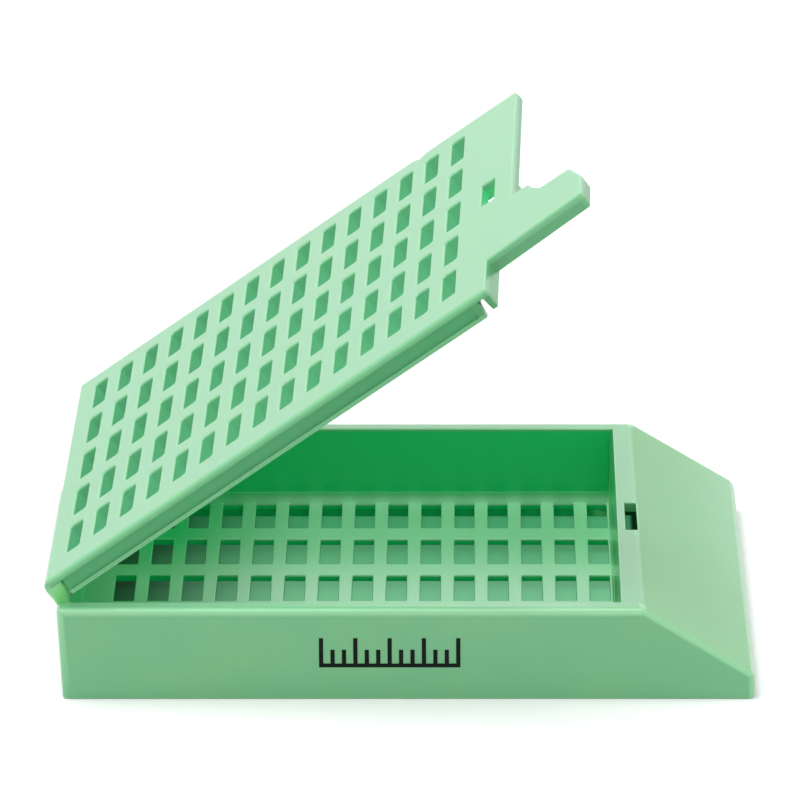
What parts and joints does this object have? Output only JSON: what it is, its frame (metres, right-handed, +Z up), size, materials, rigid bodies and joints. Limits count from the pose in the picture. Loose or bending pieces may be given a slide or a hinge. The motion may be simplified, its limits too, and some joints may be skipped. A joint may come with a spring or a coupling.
{
  "type": "tissue cassette",
  "caption": "Shallow perforated plastic tray with a sloping writing face and a perforated lid with a finger tab, hinged at the far end on moulded straps and shown part open.",
  "frame": {"origin": "on the ground, at the middle of the plan of the cassette as it stands open", "axes": "+X along the tray from the hinge end to the writing face, +Y across it away from the front wall, +Z up"},
  "size_m": [0.0414, 0.0298, 0.0305],
  "materials": {
    "tray_plastic": "satin moulded acetal, pale green",
    "lid_plastic": "satin moulded acetal, pale green",
    "strap_plastic": "thin translucent moulded acetal, pale green"
  },
  "bodies": {
    "tray_body": {"tray": "tray_plastic", "hinge_strap_front": "strap_plastic", "hinge_strap_rear": "strap_plastic"},
    "lid_body": {"lid": "lid_plastic"}
  },
  "joints": [
    {"name": "lid_hinge", "type": "hinge", "parent": "tray_body", "child": "lid_body", "pos_m": [-0.02062, 0.00061, 0.00626], "axis": [0.0357, -0.9981, -0.0504], "range_deg": [-36.39, 98.61], "stiffness_Nm_per_rad": 0.00038, "springref_deg": 19.94}
  ]
}
